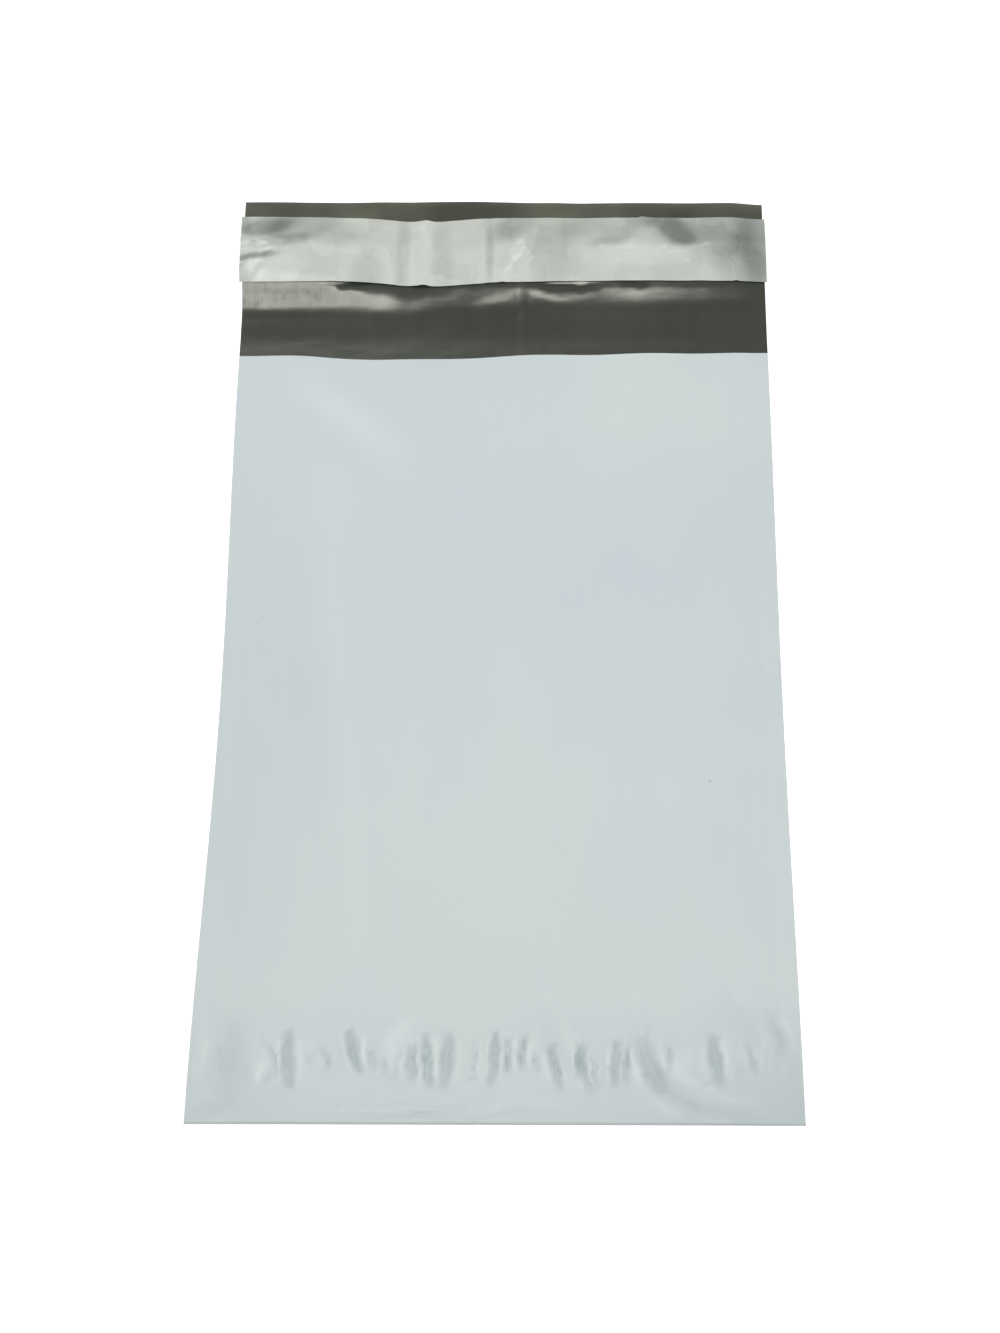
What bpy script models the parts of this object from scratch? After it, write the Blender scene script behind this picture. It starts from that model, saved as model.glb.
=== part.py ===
"""A flat poly mailer, lying on its back wall, open, with its flap curling up and the release liner still on.

The bag is one film, folded once at the bottom and welded along both sides. Its back wall runs on past the mouth
as the flap. Sizes are metres, +X is right, +Y runs from the bottom fold to the flap and +Z is up. The origin is
under the middle of the whole object, on the surface it lies on.
"""
import math

import bmesh
import bpy
import numpy as np
from mathutils import Vector
from mathutils.geometry import delaunay_2d_cdt

# Bag
body_width = 0.1534
body_length = 0.2286
flap_length = 0.0508
film_thickness = 0.00006
weld_width = 0.0045
waist_left = 0.0016
waist_right = 0.0006

# Air between the two walls
gap_at_fold = 0.0004
gap_in_middle = 0.0021
gap_at_mouth = 0.0007
least_gap = 0.0002
side_slope_length = 0.024
bottom_slope_length = 0.022
mouth_slope_length = 0.060
mouth_wave = 0.0003
mouth_wave_turns = 9
mouth_draw = 0.0005
mouth_dip = 0.0017
mouth_dip_place = -0.026
mouth_dip_half_width = 0.027

# Curl of the flap: over what length the film tips up and over what length it levels out again
curl_rise_length = 0.007
curl_level_length = 0.008
# Curl at places across the bag: place, steepest slope in degrees, how far past the liner's lower edge it starts to
# level out, how far before that edge it tips up, and the slope in degrees that stays under the liner
CURLS = [
    (-0.077, 29.0, 0.0005, 0.0121, 4.0),
    (-0.056, 29.0, -0.0015, 0.0121, 4.0),
    (-0.046, 28.0, -0.0042, 0.0124, 5.0),
    (-0.037, 27.0, -0.0070, 0.0128, 6.5),
    (-0.028, 22.0, -0.0090, 0.0132, 7.5),
    (-0.020, 18.0, -0.0065, 0.0124, 8.0),
    (-0.010, 19.0, -0.0035, 0.0118, 7.0),
    (0.012, 18.5, -0.0015, 0.0113, 5.0),
    (0.025, 18.0, -0.0015, 0.0110, 4.0),
    (0.037, 21.0, -0.0015, 0.0110, 3.0),
    (0.056, 17.5, -0.0015, 0.0110, 3.0),
    (0.066, 14.5, 0.0015, 0.0110, 3.0),
    (0.077, 8.0, 0.0015, 0.0110, 3.0),
]

# Release liner and adhesive
liner_width = 0.0215
liner_thickness = 0.00005
liner_overhang_left = 0.0008
liner_overhang_right = 0.0006
bare_end = 0.0055
liner_wander = 0.0015
liner_wander_place = -0.022
liner_wander_half_width = 0.016
adhesive_width = 0.010
adhesive_thickness = 0.0001
adhesive_margin = 0.0015
adhesive_inset_left = 0.005
adhesive_inset_right = 0.009
clearance = 0.0003

# Spacing of the mesh
coarse_step = 0.0095
flap_step = 0.0050
curl_step = 0.0026
liner_step = 0.0030
strip_row_step = 0.0030
first_row = 0.0012
fold_segments = 4

# Creases pressed into the front wall: foot (across, along), head (across, along), half width, depth.
# A negative depth is a ridge. The first group is the row of puckers over the bottom fold.
PUCKERS = [
    (-0.0660, 0.0100, -0.0660, 0.0240, 0.0040, 0.00067),
    (-0.0538, 0.0120, -0.0575, 0.0210, 0.0012, 0.00047),
    (-0.0502, 0.0100, -0.0520, 0.0240, 0.0013, 0.00114),
    (-0.0410, 0.0140, -0.0440, 0.0200, 0.0009, 0.00047),
    (-0.0340, 0.0125, -0.0368, 0.0235, 0.0012, 0.00114),
    (-0.0275, 0.0135, -0.0315, 0.0190, 0.0010, 0.00047),
    (-0.0208, 0.0125, -0.0202, 0.0205, 0.0014, 0.00095),
    (-0.0165, 0.0120, -0.0180, 0.0230, 0.0010, 0.00104),
    (-0.0125, 0.0105, -0.0118, 0.0225, 0.0015, 0.00095),
    (-0.0052, 0.0130, -0.0050, 0.0220, 0.0009, 0.00038),
    (-0.0004, 0.0105, 0.0003, 0.0235, 0.0010, 0.00095),
    (0.0030, 0.0130, 0.0036, 0.0220, 0.0010, 0.00076),
    (0.0066, 0.0140, 0.0076, 0.0235, 0.0011, 0.00095),
    (0.0104, 0.0135, 0.0106, 0.0190, 0.0009, 0.00038),
    (0.0165, 0.0100, 0.0143, 0.0205, 0.0013, 0.00095),
    (0.0208, 0.0125, 0.0215, 0.0195, 0.0012, 0.00114),
    (0.0250, 0.0085, 0.0243, 0.0180, 0.0010, 0.00067),
    (0.0300, 0.0105, 0.0306, 0.0210, 0.0009, 0.00095),
    (0.0325, 0.0105, 0.0332, 0.0205, 0.0010, 0.00067),
    (0.0405, 0.0090, 0.0363, 0.0220, 0.0022, 0.00114),
    (0.0427, 0.0130, 0.0433, 0.0205, 0.0009, 0.00047),
    (0.0558, 0.0105, 0.0548, 0.0225, 0.0016, 0.00114),
    (0.0656, 0.0140, 0.0630, 0.0205, 0.0010, 0.00076),
    (0.0705, 0.0140, 0.0685, 0.0270, 0.0018, 0.00067),
]
SOFT_FOLDS = [
    (-0.0340, 0.0600, -0.0480, 0.1750, 0.0060, -0.00040),
    (-0.0280, 0.1960, -0.0570, 0.2180, 0.0045, -0.00050),
    (0.0500, 0.0030, 0.0415, 0.0085, 0.0025, 0.00030),
    (0.0215, 0.0200, 0.0130, 0.0310, 0.0022, 0.00025),
]

# Folds standing up in the liner: place across, half width, height
LINER_FOLDS = [
    (-0.0710, 0.0030, 0.0006),
    (-0.0240, 0.0026, 0.0013),
    (-0.0030, 0.0022, 0.0007),
    (0.0150, 0.0020, 0.0004),
    (0.0420, 0.0040, 0.0007),
    (0.0650, 0.0024, 0.0008),
]

# The places across in these lists belong to a bag of this half width, and are stretched to the real one
listed_half_width = 0.0767

half_width = body_width / 2
pocket_half = half_width - weld_width
liner_foot = flap_length - bare_end - liner_width


def stretched(rows, columns):
    """The same rows with their places across, in the given columns, stretched to the width of the bag."""
    stretch = half_width / listed_half_width
    return [tuple(value * stretch if i in columns else value for i, value in enumerate(row)) for row in rows]


creases = stretched(PUCKERS + SOFT_FOLDS, (0, 2))
curls = stretched(CURLS, (0,))
liner_folds = stretched(LINER_FOLDS, (0,))


def smooth(value):
    """Ease from 0 to 1 as the value goes from 0 to 1."""
    t = min(max(value, 0.0), 1.0)
    return t * t * (3 - 2 * t)


def blend(start, end, share):
    return start + (end - start) * share


def crease_depth(crease, across, along):
    """How deep one crease is at a point: a bell across its line that fades past its two ends."""
    foot_x, foot_y, head_x, head_y, width, depth = crease
    run = Vector((head_x - foot_x, head_y - foot_y))
    to_point = Vector((across - foot_x, along - foot_y))
    share = min(max(to_point.dot(run) / run.length_squared, 0.0), 1.0)
    distance = (to_point - run * share).length
    return depth * math.exp(-(distance / width) ** 2)


def pouch_gap(across, along):
    """Air between the walls: nothing at the welds, a little at the fold, most in the middle."""
    from_weld = min(max((pocket_half - abs(across)) / side_slope_length, 0.0), 1.0)
    side = 1 - (1 - from_weld) ** 2
    height = blend(gap_at_fold, gap_in_middle, smooth(along / bottom_slope_length))
    at_mouth = gap_at_mouth + mouth_wave * math.sin(across * mouth_wave_turns * math.pi / body_width)
    height = blend(height, at_mouth, smooth(1 - (body_length - along) / mouth_slope_length))
    height -= sum(crease_depth(crease, across, along) for crease in creases)
    return side * max(height, least_gap)


def place_across(across, along):
    """The sides draw in a little half way up the bag, because the pouch between them is not quite flat."""
    waist = waist_left if across < 0 else waist_right
    return across - across / half_width * waist * math.sin(math.pi * min(along / body_length, 1.0)) ** 2


def curl_at(across):
    """The four numbers of the curl table at one place across the bag, eased between its places."""
    for low, high in zip(curls, curls[1:]):
        if across <= high[0]:
            share = smooth((across - low[0]) / (high[0] - low[0]))
            return [blend(a, b, share) for a, b in zip(low[1:], high[1:])]
    return curls[-1][1:]


def flap_profile(across):
    """Path of the flap's underside: distance from the mouth, then how far along and how high that point lies."""
    steps = np.linspace(0.0, flap_length, 120)
    steepest, past_liner, before_liner, rest_slope = curl_at(across)
    tipped = np.array([smooth((step - liner_foot + before_liner) / curl_rise_length) for step in steps])
    level = np.array([smooth((step - liner_foot - past_liner) / curl_level_length) for step in steps])
    slope = tipped * np.radians(blend(steepest, rest_slope, level))
    step = flap_length / (len(steps) - 1)
    middle = (slope[1:] + slope[:-1]) / 2
    along = body_length + np.concatenate(([0.0], np.cumsum(np.cos(middle)) * step))
    height = np.concatenate(([0.0], np.cumsum(np.sin(middle)) * step))
    return steps, along, height


def flap_place(across, distance):
    """Where a point of the flap's underside lies, as along and height."""
    steps, along, height = flap_profile(across)
    return float(np.interp(distance, steps, along)), float(np.interp(distance, steps, height))


def back_place(across, along, lift):
    """A point of the back wall or of the flap, lifted off its underside."""
    if along <= body_length:
        return Vector((place_across(across, along), along, lift))
    y, z = flap_place(across, along - body_length)
    return Vector((across, y, z + lift))


def mouth_shift(across, along):
    """The front wall's edge is drawn back where the pouch stands open."""
    near = smooth(1 - (body_length - along) / mouth_slope_length)
    inside = smooth((pocket_half - abs(across)) / side_slope_length)
    dip = math.exp(-((across - mouth_dip_place) / mouth_dip_half_width) ** 2)
    return near * inside * (mouth_draw + mouth_dip * dip)


def front_place(across, along, drop):
    """A point of the front wall, dropped from its outer face."""
    height = 2 * film_thickness + pouch_gap(across, along) - drop
    return Vector((place_across(across, along), along - mouth_shift(across, along), height))


def fold_place(across, turn, drop):
    """A point of the bottom fold: turn goes from 0 on the back wall to 1 on the front wall."""
    outer = film_thickness + pouch_gap(across, 0.0) / 2
    radius = outer - drop
    angle = math.pi * (turn - 0.5)
    return Vector((across, outer - radius * math.cos(angle), outer + radius * math.sin(angle)))


def evenly(start, end, step):
    count = max(1, math.ceil((end - start) / step - 1e-6))
    return [blend(start, end, i / count) for i in range(count)] + [end]


class WallPlan:
    """The flat outline of one wall, filled with points and cut into triangles."""

    def __init__(self):
        self.points = []
        self.edges = []

    def add_line(self, line):
        first = len(self.points)
        numbers = []
        for point in line:
            known = [i for i, old in enumerate(self.points[:first]) if math.dist(old, point) < 1e-6]
            if known:
                numbers.append(known[0])
            else:
                numbers.append(len(self.points))
                self.points.append(point)
        self.edges += list(zip(numbers, numbers[1:]))

    def add_point(self, across, along, room):
        point = (across, along)
        if all(math.dist(old, point) > room for old in self.points):
            self.points.append(point)

    def triangles(self):
        """The points as they were put in, so that shared rims meet exactly, and the triangles between them."""
        flat = [Vector(point) for point in self.points]
        _, _, faces, sources, _, _ = delaunay_2d_cdt(flat, self.edges, [], 0, 1e-7)
        return [self.points[numbers[0]] for numbers in sources], faces


columns = [-half_width] + evenly(-pocket_half, pocket_half, coarse_step) + [half_width]
body_rows = evenly(first_row, body_length, coarse_step)
flap_rows = evenly(body_length, body_length + flap_length, flap_step)


def outline(plan, top):
    """Outline and weld lines that both walls share, so that their rims meet point for point."""
    plan.add_line([(across, first_row) for across in columns])
    for side in (-half_width, -pocket_half, pocket_half, half_width):
        plan.add_line([(side, along) for along in body_rows])
    for sign in (-1, 1):
        plan.add_line([(sign * pocket_half, body_length), (sign * half_width, body_length)])
    plan.add_line([(across, top) for across in columns])


def front_plan():
    plan = WallPlan()
    outline(plan, body_length)
    room = 0.0008
    for foot_x, foot_y, head_x, head_y, width, _ in creases:
        reach = 1.3 * width
        for share in evenly(0.0, 1.0, max(0.25, width / 0.008)):
            for offset in (0.0, -reach, reach):
                across = blend(foot_x, head_x, share) + offset
                along = blend(foot_y, head_y, share)
                if abs(across) < pocket_half - room and first_row + room < along < body_length - room:
                    plan.add_point(across, along, room)
        for along in (foot_y - reach, head_y + reach):
            if abs(foot_x) < pocket_half - room and first_row + room < along < body_length - room:
                plan.add_point(foot_x if along < foot_y else head_x, along, room)
    for along in body_rows[1:-1]:
        for across in columns[2:-2]:
            plan.add_point(across, along, coarse_step / 3)
    return plan.triangles()


def back_plan():
    plan = WallPlan()
    top = body_length + flap_length
    outline(plan, top)
    for side in (-half_width, half_width):
        plan.add_line([(side, along) for along in flap_rows])
    for along in body_rows[2:-1:2]:
        for across in columns[3:-3:2]:
            plan.add_point(across, along, coarse_step / 3)
    curl_foot = liner_foot - max(row[3] for row in CURLS)
    curl_head = liner_foot + max(row[2] for row in CURLS) + curl_level_length
    curl_rows = evenly(curl_foot, curl_head, curl_step)
    for distance in curl_rows + evenly(curl_head, flap_length, flap_step):
        for across in columns[1:-1]:
            if distance < flap_length - flap_step / 3:
                plan.add_point(across, body_length + distance, flap_step / 4)
    return plan.triangles()


def in_weld(points, face):
    across = sum(points[i][0] for i in face) / len(face)
    along = sum(points[i][1] for i in face) / len(face)
    return abs(across) > pocket_half and along < body_length


class FilmBody:
    """Collects the faces of a closed film body. Points that fall together become one."""

    def __init__(self):
        self.mesh = bmesh.new()
        self.known = {}

    def vert(self, place):
        key = tuple(round(value * 1e7) for value in place)
        if key not in self.known:
            self.known[key] = self.mesh.verts.new(place)
        return self.known[key]

    def face(self, places, material=0):
        verts = []
        for place in places:
            vert = self.vert(place)
            if vert not in verts:
                verts.append(vert)
        if len(verts) > 2:
            self.mesh.faces.new(verts).material_index = material

    def strip(self, first, second, material=0):
        """Faces between two lines of points of the same length."""
        for i in range(len(first) - 1):
            self.face([first[i], first[i + 1], second[i + 1], second[i]], material)

    def finish(self, name, materials):
        bmesh.ops.recalc_face_normals(self.mesh, faces=self.mesh.faces)
        mesh = bpy.data.meshes.new(name)
        self.mesh.to_mesh(mesh)
        self.mesh.free()
        for material in materials:
            mesh.materials.append(material)
        mesh.shade_smooth()
        mesh.set_sharp_from_angle(angle=math.radians(40))
        thing = bpy.data.objects.new(name, mesh)
        bpy.context.collection.objects.link(thing)
        return thing


def build_bag(materials):
    body = FilmBody()
    points, faces = front_plan()
    for face in faces:
        body.face([front_place(*points[i], 0.0) for i in face])
        if not in_weld(points, face):
            body.face([front_place(*points[i], film_thickness) for i in face], 1)
    points, faces = back_plan()
    for face in faces:
        body.face([back_place(*points[i], 0.0) for i in face])
        if not in_weld(points, face):
            body.face([back_place(*points[i], film_thickness) for i in face], 1)

    inside = columns[1:-1]
    outer_turns = [i / fold_segments for i in range(fold_segments + 1)]
    for drop, across_list, material in ((0.0, columns, 0), (film_thickness, inside, 1)):
        lines = [[back_place(across, first_row, drop) for across in across_list]]
        lines += [[fold_place(across, turn, drop) for across in across_list] for turn in outer_turns]
        lines += [[front_place(across, first_row, drop) for across in across_list]]
        for first, second in zip(lines, lines[1:]):
            body.strip(first, second, material)

    for side in (-half_width, half_width):
        cap = [back_place(side, first_row, 0.0)]
        cap += [fold_place(side, turn, 0.0) for turn in outer_turns]
        body.face(cap + [front_place(side, first_row, 0.0)])
        for low, high in zip(body_rows, body_rows[1:]):
            rim = [back_place(side, low, 0.0), back_place(side, high, 0.0)]
            if high == body_rows[-1]:
                rim.append(back_place(side, high, film_thickness))
            body.face(rim + [front_place(side, high, 0.0), front_place(side, low, 0.0)])
        body.strip([back_place(side, along, 0.0) for along in flap_rows],
                   [back_place(side, along, film_thickness) for along in flap_rows])
        weld = [math.copysign(pocket_half, side), side]
        body.strip([front_place(across, body_length, 0.0) for across in weld],
                   [back_place(across, body_length, film_thickness) for across in weld])

    body.strip([front_place(across, body_length, 0.0) for across in inside],
               [front_place(across, body_length, film_thickness) for across in inside])
    end = body_length + flap_length
    body.strip([back_place(across, end, 0.0) for across in columns],
               [back_place(across, end, film_thickness) for across in columns])
    return body.finish("bag_film", materials)


def wander(across):
    """How far the liner strays towards the mouth where it bulges."""
    return liner_wander * math.exp(-((across - liner_wander_place) / liner_wander_half_width) ** 2)


def build_strip(name, across_list, distances, base, thickness, lift, shift, material):
    """A thin strip that follows the flap at a height over its underside."""
    body = FilmBody()
    skins = []
    for level in (base, base + thickness):
        skins.append([[back_place(across, body_length + distance - shift(across), level + lift(across, distance))
                       for across in across_list] for distance in distances])
    for skin in skins:
        for first, second in zip(skin, skin[1:]):
            body.strip(first, second)
    for row in (0, -1):
        body.strip(skins[0][row], skins[1][row])
    for column in (0, -1):
        body.strip([line[column] for line in skins[0]], [line[column] for line in skins[1]])
    return body.finish(name, [material])


def liner_lift(across, distance):
    """The liner's upright folds, which open out towards its two long edges."""
    middle = liner_foot + liner_width / 2
    spread = 0.6 + 0.4 * min(abs(distance - middle) / (liner_width / 2), 1.0)
    return spread * sum(height * math.exp(-((across - place) / width) ** 2)
                        for place, width, height in liner_folds)


def make_material(name, colour, roughness):
    material = bpy.data.materials.new(name)
    material.use_nodes = True
    shader = material.node_tree.nodes["Principled BSDF"]
    shader.inputs["Base Color"].default_value = (*colour, 1.0)
    shader.inputs["Roughness"].default_value = roughness
    shader.inputs["Metallic"].default_value = 0.0
    return material


def centre_over_origin(things):
    """Put the middle of the footprint at the origin, with the underside on the ground."""
    corners = np.array([vertex.co[:] for thing in things for vertex in thing.data.vertices])
    low, high = corners.min(axis=0), corners.max(axis=0)
    shift = Vector((-(low[0] + high[0]) / 2, -(low[1] + high[1]) / 2, -low[2]))
    for thing in things:
        for vertex in thing.data.vertices:
            vertex.co += shift
    return shift


def main():
    for thing in list(bpy.data.objects):
        bpy.data.objects.remove(thing, do_unlink=True)
    film_white = make_material("film_white", (0.61, 0.67, 0.67), 0.42)
    film_grey = make_material("film_grey", (0.035, 0.038, 0.032), 0.38)
    hot_melt = make_material("hot_melt", (0.62, 0.58, 0.46), 0.25)
    liner_film = make_material("liner_film", (0.55, 0.56, 0.54), 0.30)

    bag = build_bag([film_white, film_grey])
    adhesive_base = film_thickness + clearance
    adhesive_foot = liner_foot + adhesive_margin
    adhesive_columns = evenly(adhesive_inset_left - half_width, half_width - adhesive_inset_right, flap_step)
    adhesive_rows = evenly(adhesive_foot, adhesive_foot + adhesive_width, strip_row_step)
    adhesive = build_strip("adhesive_strip", adhesive_columns, adhesive_rows, adhesive_base,
                           adhesive_thickness, lambda across, distance: 0.0, lambda across: 0.0, hot_melt)
    liner_base = adhesive_base + adhesive_thickness + clearance
    liner_columns = evenly(-half_width - liner_overhang_left, half_width + liner_overhang_right, liner_step)
    liner_rows = evenly(liner_foot, liner_foot + liner_width, strip_row_step)
    liner = build_strip("release_liner", liner_columns, liner_rows, liner_base,
                        liner_thickness, liner_lift, wander, liner_film)
    shift = centre_over_origin([bag, adhesive, liner])
    print("bottom fold at y =", round(shift.y, 6), "and bag centre at x =", round(shift.x, 6))
    for thing in (bag, adhesive, liner):
        print(thing.name, len(thing.data.polygons), "faces")


main()
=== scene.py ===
# %% [markdown]
# # A poly mailer, lying open
# The object is a plastic mailing bag. One film is folded at the bottom and welded along both sides, and
# its back wall runs on past the mouth as a flap. The flap shows the dark inside of the film and carries a
# strip of adhesive under a pale release liner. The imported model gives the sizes; this script makes the
# finished looks.

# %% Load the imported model
import math

import bmesh
import bpy
import numpy as np
from mathutils import Matrix, Vector


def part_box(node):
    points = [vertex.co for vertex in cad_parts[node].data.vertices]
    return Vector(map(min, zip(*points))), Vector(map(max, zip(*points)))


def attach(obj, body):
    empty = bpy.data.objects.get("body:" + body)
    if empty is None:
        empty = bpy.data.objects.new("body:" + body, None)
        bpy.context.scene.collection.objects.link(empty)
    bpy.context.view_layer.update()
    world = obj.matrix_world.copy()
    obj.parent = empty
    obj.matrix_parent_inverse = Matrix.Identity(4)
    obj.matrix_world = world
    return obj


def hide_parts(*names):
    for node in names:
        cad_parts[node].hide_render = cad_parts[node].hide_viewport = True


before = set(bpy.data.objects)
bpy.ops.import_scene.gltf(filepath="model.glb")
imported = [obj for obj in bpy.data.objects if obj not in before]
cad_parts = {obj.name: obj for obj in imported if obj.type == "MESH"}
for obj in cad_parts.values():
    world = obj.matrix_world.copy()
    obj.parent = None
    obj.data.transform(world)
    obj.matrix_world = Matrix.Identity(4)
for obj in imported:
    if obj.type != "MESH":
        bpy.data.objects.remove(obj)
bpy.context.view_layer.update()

bag_low, bag_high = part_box("bag_film")
fold_y = bag_low[1]
centre_x = (bag_low[0] + bag_high[0]) / 2
print("bottom fold at y =", round(fold_y, 5), "bag centre at x =", round(centre_x, 5))

# %% [markdown]
# ## Sizes
# Every size that shapes the bag is named here. Across is measured from the middle of the bag and along
# from the bottom fold, both on the flat film. A row of the curl table is a place across, the flap's
# steepest slope in degrees, how far past the liner's foot that holds, how far before it the rise starts,
# and the slope that is left.

# %% Sizes of the bag, in metres
body_width = bag_high[0] - bag_low[0]
body_length = 0.2286
flap_length = 0.0508
film_thickness = 0.00006
weld_width = 0.0045
waist_left = 0.0016
waist_right = 0.0006
gap_at_fold = 0.0004
gap_in_middle = 0.0021
gap_at_mouth = 0.0007
least_gap = 0.0002
side_slope_length = 0.024
bottom_slope_length = 0.022
mouth_slope_length = 0.060
mouth_wave = 0.0003
mouth_wave_turns = 9
mouth_draw = 0.0005
mouth_dip = 0.0017
mouth_dip_place = -0.026
mouth_dip_half_width = 0.027
half_width = body_width / 2
pocket_half = half_width - weld_width

# %% Sizes of the flap, the liner and the adhesive
curl_rise_length = 0.007
curl_level_length = 0.008
CURLS = [
    (-0.077, 29.0, 0.0005, 0.0121, 4.0),
    (-0.056, 29.0, -0.0015, 0.0121, 4.0),
    (-0.046, 28.0, -0.0042, 0.0124, 5.0),
    (-0.037, 27.0, -0.007, 0.0128, 6.5),
    (-0.028, 22.0, -0.009, 0.0132, 7.5),
    (-0.02, 18.0, -0.0065, 0.0124, 8.0),
    (-0.01, 19.0, -0.0035, 0.0118, 7.0),
    (0.012, 18.5, -0.0015, 0.0113, 5.0),
    (0.025, 18.0, -0.0015, 0.011, 4.0),
    (0.037, 21.0, -0.0015, 0.011, 3.0),
    (0.056, 17.5, -0.0015, 0.011, 3.0),
    (0.066, 14.5, 0.0015, 0.011, 3.0),
    (0.077, 8.0, 0.0015, 0.011, 3.0),
]
liner_width = 0.0215
liner_thickness = 0.00005
liner_overhang_left = 0.0008
liner_overhang_right = 0.0006
bare_end = 0.0055
liner_wander = 0.0015
liner_wander_place = -0.022
liner_wander_half_width = 0.016
adhesive_width = 0.010
adhesive_thickness = 0.0001
adhesive_margin = 0.0015
adhesive_inset_left = 0.005
adhesive_inset_right = 0.009
adhesive_gap = 0.00003
liner_gap = 0.00005
liner_foot = flap_length - bare_end - liner_width
print("film", round(body_width * 1000, 1), "mm wide, liner", round(liner_foot * 1000, 1), "mm up the flap")

# %% [markdown]
# ## Node trees written as sums
# A node tree is easier to read as a formula than as a list of links. `Field` wraps one output socket, and
# its operators add the Math node that they stand for. `Tree` adds every other node from its type, its
# settings and the values or fields for its inputs. Both work in shader trees and in Geometry Nodes.

# %% A socket with Python's operators
def feed(tree, slot, value):
    """Link a field into a slot, or set the slot to a plain value."""
    if isinstance(value, Field):
        tree.links.new(value.socket, slot)
    else:
        slot.default_value = value


def calculate(tree, operation, *values, clamp=False):
    """Add one Math node."""
    node = tree.nodes.new("ShaderNodeMath")
    node.operation = operation
    node.use_clamp = clamp
    for slot, value in zip(node.inputs, values):
        feed(tree, slot, value)
    return Field(tree, node.outputs[0])


def operator(operation):
    """A method that adds one Math node for a field and what stands after it."""
    return lambda field, other: calculate(field.tree, operation, field, other)


def reflected(operation):
    """The same for a plain number that stands before the field."""
    return lambda field, other: calculate(field.tree, operation, other, field)


class Field:
    """One output socket. Sums and products of fields add Math nodes to the tree."""

    __add__ = operator("ADD")
    __radd__ = reflected("ADD")
    __sub__ = operator("SUBTRACT")
    __rsub__ = reflected("SUBTRACT")
    __mul__ = operator("MULTIPLY")
    __rmul__ = reflected("MULTIPLY")
    __truediv__ = operator("DIVIDE")
    __rtruediv__ = reflected("DIVIDE")
    __pow__ = operator("POWER")

    def __init__(self, tree, socket):
        self.tree = tree
        self.socket = socket

    def math(self, operation, *others, clamp=False):
        return calculate(self.tree, operation, self, *others, clamp=clamp)

    def __neg__(self):
        return self.math("MULTIPLY", -1.0)

    def __abs__(self):
        return self.math("ABSOLUTE")

    def clamped(self):
        return self.math("ADD", 0.0, clamp=True)

    def below(self, edge, blur):
        """1 where the field is well below the edge, 0 well above it, with a straight ramp between."""
        return ((edge - self) / blur).math("ADD", 0.5, clamp=True)

    def above(self, edge, blur):
        return 1.0 - self.below(edge, blur)

    def bell(self, width):
        """A bell curve of the field: 1 at nought, fading over the width."""
        share = self / width
        return (-(share * share)).math("EXPONENT")


# %% A tree that adds any node from its settings and its inputs
class Tree:
    """Adds nodes to a node tree and hands back their outputs as fields."""

    def __init__(self, nodes_of):
        self.tree = nodes_of

    def add(self, kind, settings=None, inputs=None, output=0):
        node = self.tree.nodes.new(kind)
        for name, value in (settings or {}).items():
            setattr(node, name, value)
        for name, value in (inputs or {}).items():
            self.feed(node.inputs[name], value)
        return Field(self.tree, node.outputs[output])

    def feed(self, slot, value):
        feed(self.tree, slot, value)

    def parts(self, vector):
        """The three numbers of a vector field."""
        node = self.tree.nodes.new("ShaderNodeSeparateXYZ")
        self.tree.links.new(vector.socket, node.inputs[0])
        return [Field(self.tree, out) for out in node.outputs]

    def join(self, x, y, z):
        return self.add("ShaderNodeCombineXYZ", inputs={0: x, 1: y, 2: z})

    def vector(self, operation, first, second=None, output=0):
        inputs = {0: first} if second is None else {0: first, 1: second}
        return self.add("ShaderNodeVectorMath", {"operation": operation}, inputs, output)

    def place(self):
        return self.add("ShaderNodeTexCoord", output="Object")

    def noise(self, place, scale, detail=2.0, roughness=0.5, stretch=None, dimensions="3D", output=0):
        vector = place if stretch is None else self.vector("MULTIPLY", place, stretch)
        return self.add("ShaderNodeTexNoise", {"noise_dimensions": dimensions},
                        {"Vector": vector, "Scale": scale, "Detail": detail, "Roughness": roughness}, output)

    def mix(self, share, *colours):
        """Blend two colours, each a field or three numbers."""
        first, second = (each if isinstance(each, Field) else (*each, 1.0) for each in colours)
        return self.add("ShaderNodeMix", {"data_type": "RGBA"}, {0: share, 6: first, 7: second}, 2)

    def lift(self, sheet, height):
        """Move every point of a sheet up by a height."""
        offset = self.join(0.0, 0.0, height)
        return self.add("GeometryNodeSetPosition", inputs={"Geometry": sheet, "Offset": offset})


# %% Start and end of a Geometry Nodes tree
def open_group(name, numbers, more=()):
    """A new tree that takes a sheet, other inputs, numbers and a film, and gives a sheet."""
    group = bpy.data.node_groups.new(name, "GeometryNodeTree")
    floats = [(number, "Float") for number in numbers]
    for title, kind in [("Sheet", "Geometry"), *more, *floats, ("Film", "Material")]:
        group.interface.new_socket(title, in_out="INPUT", socket_type="NodeSocket" + kind)
    group.interface.new_socket("Sheet", in_out="OUTPUT", socket_type="NodeSocketGeometry")
    entry = group.nodes.new("NodeGroupInput")
    return group, Tree(group), {slot.name: Field(group, slot) for slot in entry.outputs if slot.name}


def close_group(group, tree, sheet, film):
    """End the tree with one mesh in the film's material."""
    realized = tree.add("GeometryNodeRealizeInstances", inputs={"Geometry": sheet})
    finished = tree.add("GeometryNodeSetMaterial", inputs={"Geometry": realized, "Material": film})
    tree.feed(group.nodes.new("NodeGroupOutput").inputs["Sheet"], finished)
    return group


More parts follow.
